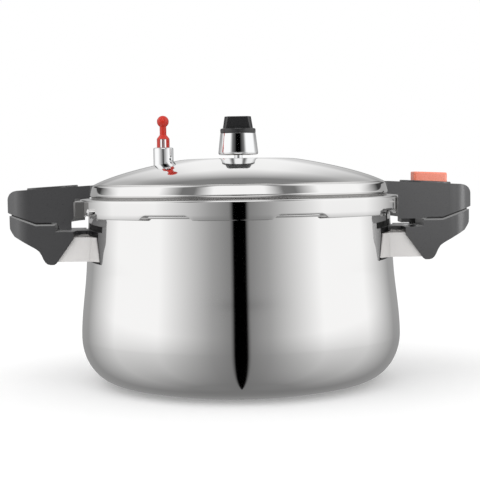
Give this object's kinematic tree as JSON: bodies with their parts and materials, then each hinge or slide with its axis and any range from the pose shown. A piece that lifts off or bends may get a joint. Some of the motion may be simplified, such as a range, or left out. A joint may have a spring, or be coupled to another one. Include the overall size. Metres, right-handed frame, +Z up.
{
  "type": "pressure canner",
  "caption": "Round stainless stovetop pressure canner with a bayonet lid, paired black side handles, press lock button, lift-off regulator weight and red float indicator.",
  "frame": {"origin": "centre of the flat foot, on the cooktop", "axes": "+Z up along the pot's axis; +X through the handle that carries the red lock button; the front looks along +Y"},
  "size_m": [0.3698, 0.257, 0.2134],
  "materials": {
    "mirror_steel": "mirror-polished stainless steel",
    "satin_steel": "fine satin stainless steel",
    "plain_steel": "turned stainless steel",
    "chromed_steel": "bright chromed steel",
    "base_aluminium": "plain",
    "weight_brass": "turned brass",
    "black_bakelite": "semi-gloss moulded phenolic",
    "red_button_plastic": "semi-gloss red plastic",
    "red_float_plastic": "gloss red plastic",
    "grey_silicone": "matte silicone rubber"
  },
  "bodies": {
    "pot": {"pot_body": "mirror_steel", "base_core": "base_aluminium", "base_cap": "mirror_steel", "left_strap": "satin_steel", "right_strap": "satin_steel", "left_strap_screw": "plain_steel", "right_strap_screw": "plain_steel", "left_pot_handle": "black_bakelite", "right_pot_handle": "black_bakelite", "lock_catch": "plain_steel"},
    "lid": {"lid_shell": "mirror_steel", "sealing_ring": "grey_silicone", "stop_stud": "mirror_steel", "left_lid_bracket": "satin_steel", "right_lid_bracket": "satin_steel", "left_lid_handle": "black_bakelite", "right_lid_handle": "black_bakelite", "left_handle_screws": "plain_steel", "right_handle_screws": "plain_steel", "left_handle_inlay": "black_bakelite", "button_bezel": "black_bakelite", "button_spring": "plain_steel", "vent_pipe": "plain_steel", "vent_nut": "plain_steel", "float_housing": "chromed_steel", "float_gasket": "grey_silicone", "float_nut": "plain_steel"},
    "lock_button": {"red_button": "red_button_plastic", "lock_pin": "plain_steel"},
    "weight": {"weight_shell": "chromed_steel", "weight_core": "weight_brass", "weight_stud": "plain_steel", "weight_knob": "black_bakelite"},
    "float": {"float_head": "red_float_plastic", "float_pin": "plain_steel", "float_seal": "grey_silicone"}
  },
  "joints": [
    {"name": "lid_turn", "type": "hinge", "parent": "pot", "child": "lid", "pos_m": [0, 0, 0.14], "axis": [0, 0, 1], "range_deg": [0, 22.5]},
    {"name": "button_press", "type": "slide", "parent": "lid", "child": "lock_button", "axis": [0, 0, -1], "range_m": [0, 0.005], "stiffness_N_per_m": 400, "springref_m": -0.002, "deforming": ["button_spring"]},
    {"name": "weight_lift", "type": "slide", "parent": "lid", "child": "weight", "axis": [0, 0, 1], "range_m": [0, 0.028]},
    {"name": "float_rise", "type": "slide", "parent": "lid", "child": "float", "axis": [0, 0, 1], "range_m": [0, 0.005]}
  ]
}
